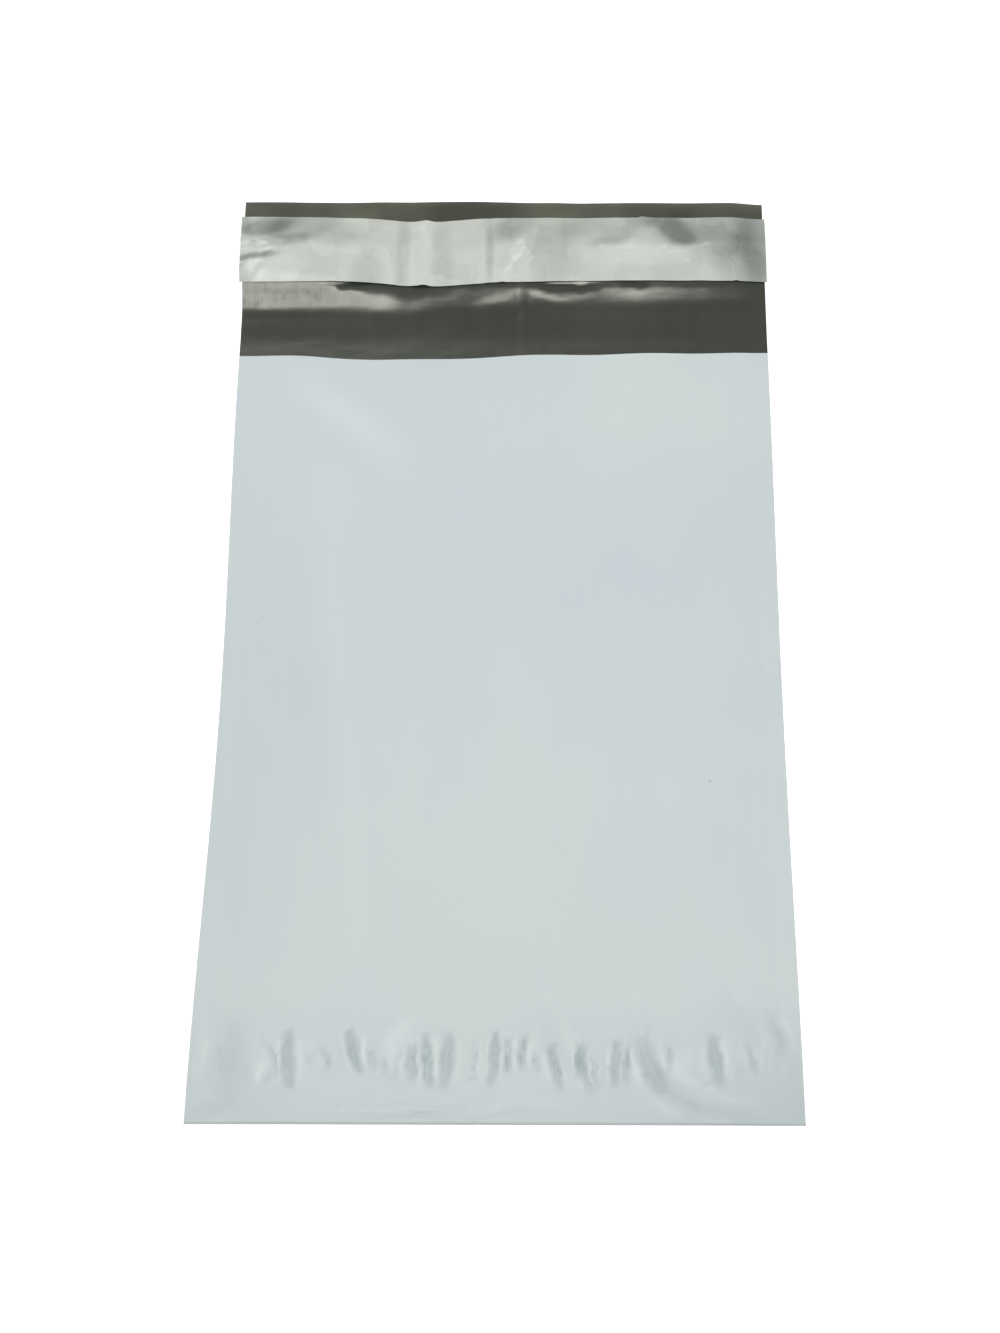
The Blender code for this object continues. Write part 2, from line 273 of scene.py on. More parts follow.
# %% [markdown]
# ## Creases pressed by Geometry Nodes
# The row of puckers over the bottom fold repeats one form: a groove that is deepest half way and runs out
# at both ends, steeper on one side, with a low ridge where the film is pushed up. Modelling each by hand
# would be slow and hard to change, and a texture would leave the mesh flat. So each crease is one point
# that carries its foot, head, half width, depth and bow, and a repeat zone presses them one after another
# into a flat sheet. A negative depth raises a ridge. Noise bends every line a little, and fine wrinkles
# fill a band of the sheet between the creases. The sheet is folded into the bag afterwards, with the
# relief that it got here.

# %% The tree that presses one crease for each guide point
CREASE_NUMBERS = ("Ridge share", "Bend", "Wave height", "Wave length", "Wave detail",
                  "Band foot", "Band head", "Band height")


def crease_tree():
    others = [("Guides", "Object"), ("Crease count", "Int")]
    group, tree, given = open_group("press_creases", CREASE_NUMBERS, others)
    guides = tree.add("GeometryNodeObjectInfo", inputs={"Object": given["Guides"]}, output="Geometry")

    start = group.nodes.new("GeometryNodeRepeatInput")
    end = group.nodes.new("GeometryNodeRepeatOutput")
    start.pair_with_output(end)
    tree.feed(start.inputs["Iterations"], given["Crease count"])
    tree.feed(start.inputs["Geometry"], given["Sheet"])
    turn = Field(group, start.outputs["Iteration"])

    def read(name, kind):
        value = tree.add("GeometryNodeInputNamedAttribute", {"data_type": kind}, {"Name": name})
        return tree.add("GeometryNodeSampleIndex", {"data_type": kind, "domain": "POINT"},
                        {"Geometry": guides, "Value": value, "Index": turn})

    def flat_noise(vector, scale, detail=2.0):
        return tree.noise(vector, scale, detail, 0.45, dimensions="2D")

    foot, head = read("foot", "FLOAT_VECTOR"), read("head", "FLOAT_VECTOR")
    width, depth, bow = read("half_width", "FLOAT"), read("depth", "FLOAT"), read("bow", "FLOAT")
    flat = tree.vector("MULTIPLY", tree.add("GeometryNodeInputPosition"), (1.0, 1.0, 0.0))
    stray_x = (flat_noise(flat, 260.0) - 0.5) * given["Bend"]
    stray_y = (flat_noise(tree.vector("ADD", flat, (0.7, 0.3, 0.0)), 190.0) - 0.5) * given["Bend"]
    bent = tree.vector("ADD", flat, tree.join(stray_x, stray_y, 0.0))

    run = tree.vector("SUBTRACT", head, foot)
    length = tree.vector("LENGTH", run, output="Value")
    run_x, run_y, _ = tree.parts(tree.vector("NORMALIZE", run))
    away_x, away_y, _ = tree.parts(tree.vector("SUBTRACT", bent, foot))
    forward = away_x * run_x + away_y * run_y
    sideways = away_x * run_y - away_y * run_x
    share = (forward / length).clamped()
    hump = 4.0 * share * (1.0 - share)
    beyond = forward - share * length
    off = sideways - bow * hump
    chance = tree.add("ShaderNodeTexWhiteNoise", {"noise_dimensions": "1D"}, {"W": turn * 1.0}, "Value")
    side = off.math("SIGN")
    local_width = width * (0.82 + 0.18 * hump) * (1.0 + (chance - 0.5) * 0.8 * side)
    distance = (off * off + beyond * beyond) ** 0.5 / local_width
    groove = distance.bell(1.0) - given["Ridge share"] * hump * (distance - 1.9).bell(0.8)
    push = depth * (0.65 + 0.35 * hump) * groove
    tree.feed(end.inputs["Geometry"], tree.lift(Field(group, start.outputs["Geometry"]), -push))

    _, along, _ = tree.parts(flat)
    waves = flat_noise(flat, 1.0 / given["Wave length"], given["Wave detail"]) - 0.5
    in_band = along.above(given["Band foot"], 0.004) * along.below(given["Band head"], 0.006)
    wrinkles = flat_noise(tree.vector("MULTIPLY", bent, (430.0, 85.0, 0.0)), 1.0) - 0.5
    lift = waves * given["Wave height"] + wrinkles * in_band * given["Band height"]
    return close_group(group, tree, tree.lift(Field(group, end.outputs["Geometry"]), lift), given["Film"])


# %% [markdown]
# The side welds shrink a little as they cool, so the film there runs in shallow waves along the edge. They
# repeat with an uneven pitch, which a sine with a noisy phase gives. The waves die out at both edges of
# the weld.

# %% The tree that raises the waves of the side welds
def weld_tree():
    numbers = ("Pocket half", "Half width", "Wave height", "Wave length", "Seed")
    group, tree, given = open_group("wave_welds", numbers)
    x, y, _ = tree.parts(tree.add("GeometryNodeInputPosition"))
    share = (abs(x) - given["Pocket half"]) / (given["Half width"] - given["Pocket half"])
    hump = (4.0 * share * (1.0 - share)).math("MAXIMUM", 0.0)
    drift = tree.noise(tree.join(x * 0.2 + given["Seed"], y, 0.0), 60.0, dimensions="2D")
    phase = 2 * math.pi * (y / given["Wave length"] + 2.0 * drift)
    wave = 0.5 + 0.5 * phase.math("SINE")
    raised = tree.lift(given["Sheet"], hump * wave * given["Wave height"])
    return close_group(group, tree, raised, given["Film"])


# %% [markdown]
# Each input of a modifier is set by its socket's identifier. The evaluated mesh is copied out as a plain
# mesh, and the modifier is gone before anything else uses the object.

# %% Run a tree on an object and keep the plain mesh
def run_tree(thing, group, values):
    """Evaluate a Geometry Nodes tree on an object and put the result in its place."""
    modifier = thing.modifiers.new(group.name, "NODES")
    modifier.node_group = group
    names = {item.name: item.identifier for item in group.interface.items_tree
             if item.item_type == "SOCKET" and item.in_out == "INPUT"}
    for name, value in values.items():
        modifier[names[name]] = value
    depsgraph = bpy.context.evaluated_depsgraph_get()
    depsgraph.update()
    result = bpy.data.meshes.new_from_object(thing.evaluated_get(depsgraph))
    thing.modifiers.remove(modifier)
    old = thing.data
    thing.data = result
    bpy.data.meshes.remove(old)


def mesh_object(name, verts, faces):
    mesh = bpy.data.meshes.new(name)
    mesh.from_pydata([tuple(v) for v in verts], [], faces)
    thing = bpy.data.objects.new(name, mesh)
    bpy.context.scene.collection.objects.link(thing)
    return thing


def discard(thing):
    mesh = thing.data
    bpy.data.objects.remove(thing, do_unlink=True)
    bpy.data.meshes.remove(mesh)


# %% [markdown]
# ## The creases that this bag has
# Their places were read off the bag: across from the middle and along from the bottom fold, foot
# first, then head, half width, depth and, for a crease that isn't straight, its sideways bow. The row over
# the fold comes from folding the film; the finish paints shade into its grooves and a highlight onto its
# ridges. Two ridges further up end that list, with a painted highlight. The soft folds come from
# handling and get no painted shade or highlight.

# %% Puckers over the bottom fold
PUCKERS = [
    (-0.0665, 0.0085, -0.066, 0.0245, 0.0042, 0.00048),
    (-0.0545, 0.0125, -0.058, 0.021, 0.0008, 0.00055, 0.001),
    (-0.0578, 0.0105, -0.0568, 0.013, 0.0009, 0.00045),
    (-0.0515, 0.0098, -0.0526, 0.0236, 0.0013, 0.00115, 0.0002),
    (-0.046, 0.016, -0.0457, 0.0172, 0.0007, 0.0006),
    (-0.0415, 0.0135, -0.044, 0.0195, 0.0007, 0.00055, 0.0009),
    (-0.034, 0.0135, -0.037, 0.0235, 0.0012, 0.00115, -0.0004),
    (-0.03, 0.014, -0.0314, 0.0185, 0.0007, 0.0005),
    (-0.027, 0.0125, -0.029, 0.016, 0.0007, 0.00045, 0.0004),
    (-0.0208, 0.0118, -0.0206, 0.0195, 0.0012, 0.00095, -0.0004),
    (-0.0162, 0.01, -0.0174, 0.0228, 0.001, 0.00105),
    (-0.0124, 0.01, -0.0118, 0.0225, 0.0014, 0.00095, 0.0005),
    (-0.0049, 0.013, -0.005, 0.0205, 0.0006, 0.0005),
    (-0.0068, 0.0114, -0.0048, 0.0115, 0.0004, 0.0004),
    (-0.0008, 0.01, 0.0003, 0.0232, 0.0008, 0.00095, 0.0003),
    (0.003, 0.013, 0.0036, 0.0215, 0.0007, 0.0008, -0.0002),
    (0.0064, 0.014, 0.0076, 0.0228, 0.0009, 0.00095),
    (0.0102, 0.0135, 0.0104, 0.0185, 0.0006, 0.0005),
    (0.0168, 0.0095, 0.0146, 0.02, 0.0009, 0.00095, -0.0004),
    (0.0208, 0.0125, 0.0213, 0.0195, 0.001, 0.00115),
    (0.024, 0.0085, 0.0222, 0.014, 0.0007, 0.0006),
    (0.0256, 0.0095, 0.0243, 0.0175, 0.0006, 0.00055),
    (0.03, 0.01, 0.0306, 0.0208, 0.0008, 0.00095, 0.0002),
    (0.0328, 0.0105, 0.0334, 0.0205, 0.0008, 0.0007, -0.0003),
    (0.0412, 0.009, 0.0366, 0.0215, 0.0019, 0.00085),
    (0.0432, 0.0135, 0.0436, 0.02, 0.0006, 0.0005),
    (0.056, 0.011, 0.055, 0.0222, 0.0014, 0.00115, -0.0003),
    (0.0655, 0.014, 0.0633, 0.02, 0.0008, 0.0008),
    (0.0725, 0.018, 0.069, 0.0285, 0.0018, 0.0006, 0.0006),
    (-0.0188, 0.0105, -0.019, 0.0215, 0.0004, -0.00032),
    (-0.0145, 0.0112, -0.0141, 0.0215, 0.0004, -0.0003, -0.0008),
    (-0.0588, 0.0122, -0.0584, 0.0138, 0.0018, -0.0004),
    (-0.027, 0.0195, -0.0225, 0.025, 0.0028, -0.00026),
    (0.0525, 0.0088, 0.0552, 0.009, 0.0007, -0.00025),
    (0.039, 0.0125, 0.05, 0.0052, 0.0022, 0.0005, 0.0006),
    (0.049, 0.0056, 0.068, 0.0022, 0.0018, 0.00035, 0.0005),
    (-0.037, 0.0026, -0.01, 0.0026, 0.0006, 0.00032, 0.0003),
    (-0.0055, 0.0008, -0.008, 0.0045, 0.0007, 0.00028),
    (-0.002, 0.0018, 0.005, 0.004, 0.0009, 0.00028),
    (-0.074, 0.0015, -0.065, 0.0055, 0.0018, 0.0003),
    (-0.054, 0.0165, -0.05, 0.011, 0.0007, -0.0002),
    (-0.0255, 0.0105, -0.0235, 0.018, 0.001, 0.00022),
    (0.0125, 0.0255, 0.0175, 0.015, 0.0022, 0.00024),
    (0.0615, 0.03, 0.066, 0.022, 0.003, 0.00022),
    (-0.0352, 0.045, -0.0477, 0.16, 0.0032, -0.00006, 0.0008),
    (-0.0305, 0.195, -0.0555, 0.2175, 0.0056, -0.00026),
]

# %% Soft folds in the front wall
SOFT_FOLDS = [
    (0.0215, 0.02, 0.013, 0.031, 0.0022, 0.0004),
    (0.037, 0.022, 0.036, 0.031, 0.0022, 0.00045),
    (0.056, 0.023, 0.06, 0.033, 0.003, 0.00035),
    (-0.038, 0.0042, -0.006, 0.0036, 0.0008, -0.0004, 0.0004),
    (-0.0045, 0.0004, -0.0038, 0.0048, 0.0007, -0.0003),
    (0.006, 0.0055, 0.018, 0.003, 0.0013, 0.00022, 0.0005),
    (-0.025, 0.07, -0.013, 0.0702, 0.0009, 0.00016),
    (0.056, 0.038, 0.064, 0.03, 0.0024, 0.00025),
]

# %% Folds of the liner and of the flap: across from the middle, along from the mouth
LINER_FOLDS = [
    (-0.079, 0.0378, -0.0655, 0.0362, 0.0012, -0.0009),
    (-0.079, 0.0345, -0.069, 0.0352, 0.0009, 0.0005),
    (-0.0785, 0.027, -0.068, 0.0345, 0.0011, -0.00085),
    (-0.074, 0.024, -0.07, 0.03, 0.001, -0.0004),
    (-0.065, 0.042, -0.058, 0.036, 0.0016, 0.00045),
    (-0.052, 0.04, -0.041, 0.0385, 0.001, 0.00035, 0.0004),
    (-0.0505, 0.034, -0.038, 0.033, 0.001, -0.0003),
    (-0.0237, 0.0225, -0.0232, 0.047, 0.0028, -0.0015, 0.0006),
    (-0.03, 0.0225, -0.0298, 0.047, 0.0018, 0.0007),
    (-0.0042, 0.034, -0.004, 0.047, 0.0008, 0.0006),
    (-0.0075, 0.0225, -0.005, 0.03, 0.0012, 0.0004),
    (0.0, 0.024, 0.006, 0.034, 0.0013, -0.0008, 0.0006),
    (0.0045, 0.043, 0.001, 0.033, 0.0012, 0.0007),
    (0.0095, 0.03, 0.005, 0.037, 0.001, -0.0006),
    (0.011, 0.042, 0.008, 0.033, 0.001, -0.0004),
    (0.018, 0.0225, 0.0185, 0.047, 0.0007, 0.0003),
    (0.0215, 0.0225, 0.0212, 0.038, 0.0008, -0.00024),
    (0.028, 0.042, 0.036, 0.04, 0.0013, 0.0004),
    (0.0395, 0.0465, 0.048, 0.0355, 0.0011, -0.0009, -0.0008),
    (0.029, 0.0345, 0.061, 0.035, 0.0013, -0.0007, 0.0004),
    (0.061, 0.035, 0.068, 0.0235, 0.0013, -0.00085, -0.0014),
    (0.0545, 0.046, 0.0535, 0.037, 0.0022, 0.0006),
    (0.056, 0.03, 0.044, 0.028, 0.0014, 0.00035),
    (0.072, 0.0455, 0.07, 0.03, 0.0022, 0.0005),
]
FLAP_FOLDS = [
    (0.0052, 0.023, 0.0044, 0.013, 0.0014, 0.0002),
    (0.0066, 0.0226, 0.02, 0.0186, 0.001, -0.00017, 0.0005),
    (0.0035, 0.0215, -0.011, 0.0172, 0.0022, -0.00015),
    (-0.076, 0.0205, -0.056, 0.02, 0.001, 0.00012),
    (-0.076, 0.0176, -0.048, 0.0184, 0.0009, -0.00012),
    (-0.048, 0.0234, -0.04, 0.0232, 0.0011, 0.0006),
    (0.012, 0.0236, 0.027, 0.0232, 0.0011, 0.0006),
    (0.035, 0.0238, 0.042, 0.0238, 0.001, 0.00045),
    (-0.0765, 0.0242, 0.0765, 0.0242, 0.0009, 0.00022),
]


# %% Guide points that carry the creases
def guide_object(name, creases):
    """One point for each crease, with its sizes as attributes."""
    thing = mesh_object(name, [(c[0], c[1], 0.0) for c in creases], [])
    fields = {
        "foot": ("FLOAT_VECTOR", [(c[0], c[1], 0.0) for c in creases]),
        "head": ("FLOAT_VECTOR", [(c[2], c[3], 0.0) for c in creases]),
        "half_width": ("FLOAT", [c[4] for c in creases]),
        "depth": ("FLOAT", [c[5] for c in creases]),
        "bow": ("FLOAT", [c[6] if len(c) > 6 else 0.0 for c in creases]),
    }
    for key, (kind, values) in fields.items():
        layer = thing.data.attributes.new(key, kind, "POINT")
        slot = "value" if kind == "FLOAT" else "vector"
        layer.data.foreach_set(slot, np.array(values, dtype=np.float32).ravel())
    return thing


# %% [markdown]
# ## The flat sheets
# Each wall starts as a flat grid. Its lines are close together over the bottom fold, where the puckers
# need them, and further apart where the film is smooth. Both walls share the lines at the welds, so that
# they meet there.

# %% Grid lines of the film
column_step = 0.0007
fine_step = 0.0007
body_step = 0.0024
flap_step = 0.0011
first_row = 0.0006
pucker_top = 0.033
mouth_band = 0.012


def evenly(start, end, step):
    count = max(1, math.ceil((end - start) / step - 1e-6))
    return [start + (end - start) * i / count for i in range(count + 1)]


columns = (evenly(-half_width, -pocket_half, column_step)
           + evenly(-pocket_half, pocket_half, column_step)[1:]
           + evenly(pocket_half, half_width, column_step)[1:])
body_rows = (evenly(first_row, pucker_top, fine_step)
             + evenly(pucker_top, body_length - mouth_band, body_step)[1:]
             + evenly(body_length - mouth_band, body_length, flap_step)[1:])
flap_rows = evenly(0.0, flap_length, flap_step)
weld_columns = len(evenly(-half_width, -pocket_half, column_step))
print(len(columns), "columns,", len(body_rows), "body rows,", len(flap_rows), "flap rows")


# %% Press the creases into a flat grid and read its relief
def grid_faces(rows, cols):
    return [(r * cols + c, r * cols + c + 1, (r + 1) * cols + c + 1, (r + 1) * cols + c)
            for r in range(rows - 1) for c in range(cols - 1)]


def sheet_relief(name, across, along, group, values):
    """Height of a flat sheet of film after a tree has worked on it, one number for each grid point."""
    grid = [(x, y, 0.0) for y in along for x in across]
    sheet = mesh_object(name, grid, grid_faces(len(along), len(across)))
    run_tree(sheet, group, values)
    places = np.empty(len(sheet.data.vertices) * 3, dtype=np.float32)
    sheet.data.vertices.foreach_get("co", places)
    discard(sheet)
    relief = places.reshape(-1, 3)[:, 2].astype(float).reshape(len(along), len(across))
    print(name, "relief from", round(relief.min() * 1000, 2), "to", round(relief.max() * 1000, 2), "mm")
    return relief


def pressed_relief(name, across, along, creases, ridge_share, waves, band=(0.0, 0.0, 0.0)):
    """Waves are height, length and detail; the band is its foot, its head and the height of its wrinkles."""
    guides = guide_object(name + "_guides", creases)
    values = dict(zip(CREASE_NUMBERS, (ridge_share, crease_bend, *waves, *band)))
    values.update({"Guides": guides, "Crease count": len(creases)})
    relief = sheet_relief(name, across, along, crease_press, values)
    discard(guides)
    return relief


# %% Relief of the front wall, the welds and the flap
crease_press = crease_tree()
crease_bend = 0.0020
full_shade_depth = 0.0011
pucker_ridge = 0.35
pucker_band = (0.0115, 0.0215, 0.0007)
body_waves = (0.0006, 0.045, 2.0)
no_waves = (0.0, 0.045, 2.0)
flap_ridge = 0.2
flap_waves = (0.0006, 0.030, 2.0)
weld_sizes = {"Pocket half": pocket_half, "Half width": half_width, "Wave height": 0.00012,
              "Wave length": 0.011, "Seed": 4.0}
body_relief = pressed_relief("front_sheet", columns, body_rows, PUCKERS + SOFT_FOLDS, pucker_ridge,
                             body_waves, pucker_band)
pucker_relief = pressed_relief("pucker_sheet", columns, body_rows, PUCKERS, pucker_ridge,
                               no_waves, pucker_band)
weld_relief = sheet_relief("weld_sheet", columns, body_rows, weld_tree(), weld_sizes)
flap_relief = pressed_relief("flap_sheet", columns, flap_rows, FLAP_FOLDS, flap_ridge, flap_waves)
raised_folds = [fold for fold in FLAP_FOLDS if fold[5] < 0]
flap_ridges = pressed_relief("ridge_sheet", columns, flap_rows, raised_folds, flap_ridge, flap_waves)


# %% [markdown]
# ## Folding the sheet into a bag
# The flat film is bent by formula. The pouch has no air at the welds and most in the middle, its bottom is
# a half round, and the sides draw in a little half way up because the pouch is not quite flat.

# %% Formulas for the pouch
def smooth(value):
    t = np.clip(value, 0.0, 1.0)
    return t * t * (3 - 2 * t)


def blend(start, end, share):
    return start + (end - start) * share


def side_share(across):
    """0 at the welds, rising to 1 where the side slope ends."""
    from_weld = np.clip((pocket_half - np.abs(across)) / side_slope_length, 0.0, 1.0)
    return 1 - (1 - from_weld) ** 2


def pouch_gap(across, along, relief):
    height = blend(gap_at_fold, gap_in_middle, smooth(along / bottom_slope_length))
    at_mouth = gap_at_mouth + mouth_wave * np.sin(across * mouth_wave_turns * math.pi / body_width)
    height = blend(height, at_mouth, smooth(1 - (body_length - along) / mouth_slope_length))
    return side_share(across) * np.maximum(height + relief, least_gap)


def place_across(across, along):
    waist = np.where(across < 0, waist_left, waist_right)
    return across * (1 - waist / half_width * np.sin(math.pi * np.minimum(along / body_length, 1.0)) ** 2)


def mouth_shift(across, along):
    near = smooth(1 - (body_length - along) / mouth_slope_length)
    inside = smooth((pocket_half - np.abs(across)) / side_slope_length)
    dip = np.exp(-((across - mouth_dip_place) / mouth_dip_half_width) ** 2)
    return near * inside * (mouth_draw + mouth_dip * dip)


def stack(x, y, z):
    return np.stack(np.broadcast_arrays(x + centre_x, y + fold_y, z), axis=-1)


# %% Places on the front wall, the back wall and the fold
def front_skin(drop):
    across, along = np.meshgrid(columns, body_rows)
    height = 2 * film_thickness + pouch_gap(across, along, body_relief) + weld_relief - drop
    return stack(place_across(across, along), along - mouth_shift(across, along), height)


def back_skin(lift):
    across, along = np.meshgrid(columns, body_rows)
    return stack(place_across(across, along), along, np.full(across.shape, lift))


def fold_skin(drop, turns):
    across, turn = np.meshgrid(columns, turns)
    outer = film_thickness + pouch_gap(across, np.zeros_like(across), body_relief[:1]) / 2
    radius = outer - drop
    angle = math.pi * (turn - 0.5)
    return stack(across, outer - radius * np.cos(angle), outer + radius * np.sin(angle))


# %% [markdown]
# The flap tips up just below the liner, holds its slope under the liner's lower part and then levels out.
# It tips most on the left, least on the right, and little where the liner bulges. Its path is the running
# sum of its slope, so that the film keeps its length.

# %% Path of the flap
path_steps = np.linspace(0.0, flap_length, 160)


def curl_at(across, column):
    """One column of the curl table, eased between its places."""
    value = np.full(len(across), CURLS[-1][column])
    for low, high in reversed(list(zip(CURLS, CURLS[1:]))):
        share = smooth((across - low[0]) / (high[0] - low[0]))
        value = np.where(across <= high[0], blend(low[column], high[column], share), value)
    return value[:, None]


def flap_paths(across):
    """Along and height of the flap's underside for each place across, at the path steps."""
    steepest, past_liner, before_liner, rest_slope = (curl_at(across, column) for column in (1, 2, 3, 4))
    tipped = smooth((path_steps[None, :] - liner_foot + before_liner) / curl_rise_length)
    level = smooth((path_steps[None, :] - liner_foot - past_liner) / curl_level_length)
    slope = tipped * np.radians(blend(steepest, rest_slope, level))
    middle = (slope[:, 1:] + slope[:, :-1]) / 2
    step = path_steps[1] - path_steps[0]

    def run(shares):
        """Running sum along each line of the path, from nought."""
        return np.pad(np.cumsum(shares, axis=1) * step, ((0, 0), (1, 0)))

    return body_length + run(np.cos(middle)), run(np.sin(middle))


def read_along(distances, steps, lines, shift):
    """One line of values for each place across, read at distances that are shifted for each line."""
    shifts = np.zeros(len(lines)) if shift is None else shift
    return np.array([np.interp(np.array(distances) - d, steps, line) for line, d in zip(lines, shifts)]).T


def flap_skin(across_list, distances, lift, shift=None):
    """A skin that follows the flap, lifted off its underside. Lift is one number or a grid of them."""
    across = np.array(across_list)
    along, height = (read_along(distances, path_steps, lines, shift) for lines in flap_paths(across))
    return stack(across[None, :], along, height + lift)


# %% [markdown]
# ## One closed film
# The film is only 0.06 mm thick, so a Solidify modifier would push its two skins through each other at the
# welds. The skins are made one by one instead and joined at their rims, and points that fall together are
# merged. The faces inside have a material of their own, because that side of the film is dark. Each point
# also keeps one number, its painted shade and tone, which the finish reads.

# %% Collect skins and rims into one closed body
class FilmBody:
    def __init__(self):
        self.places = []
        self.painted_shade_and_tone = []
        self.faces = []
        self.inside = []
        self.count = 0

    def skin(self, places, painted_shade_and_tone=0.0):
        """Keep a grid of places and hand back their numbers."""
        flat = places.reshape(-1, 3)
        numbers = np.arange(self.count, self.count + len(flat)).reshape(places.shape[:-1])
        self.places.append(flat)
        self.painted_shade_and_tone.append(np.broadcast_to(painted_shade_and_tone, places.shape[:-1]).ravel())
        self.count += len(flat)
        return numbers

    def face(self, numbers, inside=0):
        self.faces.append([int(n) for n in numbers])
        self.inside.append(inside)

    def strip(self, first, second, inside=0):
        for a, b, c, d in zip(first, first[1:], second[1:], second):
            self.face((a, b, c, d), inside)

    def cover(self, numbers, inside=0):
        for first, second in zip(numbers, numbers[1:]):
            self.strip(first, second, inside)

    def finish(self, name, materials):
        thing = mesh_object(name, np.concatenate(self.places), self.faces)
        for material in materials:
            thing.data.materials.append(material)
        thing.data.polygons.foreach_set("material_index", self.inside)
        layer = thing.data.attributes.new("painted_shade_and_tone", "FLOAT", "POINT")
        layer.data.foreach_set("value", np.concatenate(self.painted_shade_and_tone).astype(np.float32))
        work = bmesh.new()
        work.from_mesh(thing.data)
        bmesh.ops.remove_doubles(work, verts=work.verts, dist=1e-6)
        bmesh.ops.dissolve_degenerate(work, edges=work.edges, dist=1e-7)
        bmesh.ops.recalc_face_normals(work, faces=work.faces)
        loose = sum(1 for edge in work.edges if len(edge.link_faces) != 2)
        work.to_mesh(thing.data)
        work.free()
        thing.data.shade_smooth()
        thing.data.set_sharp_from_angle(angle=math.radians(50))
        triangles = sum(len(face.vertices) - 2 for face in thing.data.polygons)
        print(name, triangles, "triangles,", loose, "open edges")
        return thing


# %% [markdown]
# ## Finishes
# Every finish reads Object coordinates, in metres, so its grain keeps its size whatever the camera does.
# On the white film, the painted shade and tone of a point is painted shade in a pucker's groove and, where
# it is negative, a painted highlight on a ridge. On the dark inside it lightens the film past the liner, and
# on the liner it says how closely the liner clings to the film under it.

# %% A new material with its own tree
def new_finish(name, specular=0.5):
    material = bpy.data.materials.new(name)
    material.use_nodes = True
    shader = material.node_tree.nodes["Principled BSDF"]
    shader.inputs["Specular IOR Level"].default_value = specular
    return material, Tree(material.node_tree), shader


def paint(tree, shader, colour, roughness, bumps):
    """Feed colour, roughness and a stack of bumps, each a height with its strength and its distance."""
    tree.feed(shader.inputs["Base Color"], colour)
    tree.feed(shader.inputs["Roughness"], roughness)
    below = {}
    for height, strength, distance in bumps:
        inputs = {"Height": height, "Strength": strength, "Distance": distance, **below}
        below = {"Normal": tree.add("ShaderNodeBump", inputs=inputs)}
    tree.feed(shader.inputs["Normal"], below["Normal"])


def painted_shade_and_tone_of(tree):
    return tree.add("ShaderNodeAttribute", {"attribute_name": "painted_shade_and_tone"}, output="Fac")


def cells(tree, place, scale):
    """Distance from the middle of the nearest cell, and a random number for each cell."""
    node = tree.tree.nodes.new("ShaderNodeTexVoronoi")
    tree.feed(node.inputs["Vector"], place)
    tree.feed(node.inputs["Scale"], scale)
    chance, _, _ = tree.parts(Field(tree.tree, node.outputs["Color"]))
    return Field(tree.tree, node.outputs["Distance"]), chance


def specks(tree, place, scale, size, share):
    """Small dark dots at random places: gel specks in the film, and dust."""
    distance, chance = cells(tree, place, scale)
    return distance.below(size * scale, 0.6 * size * scale) * chance.below(share, 0.02)


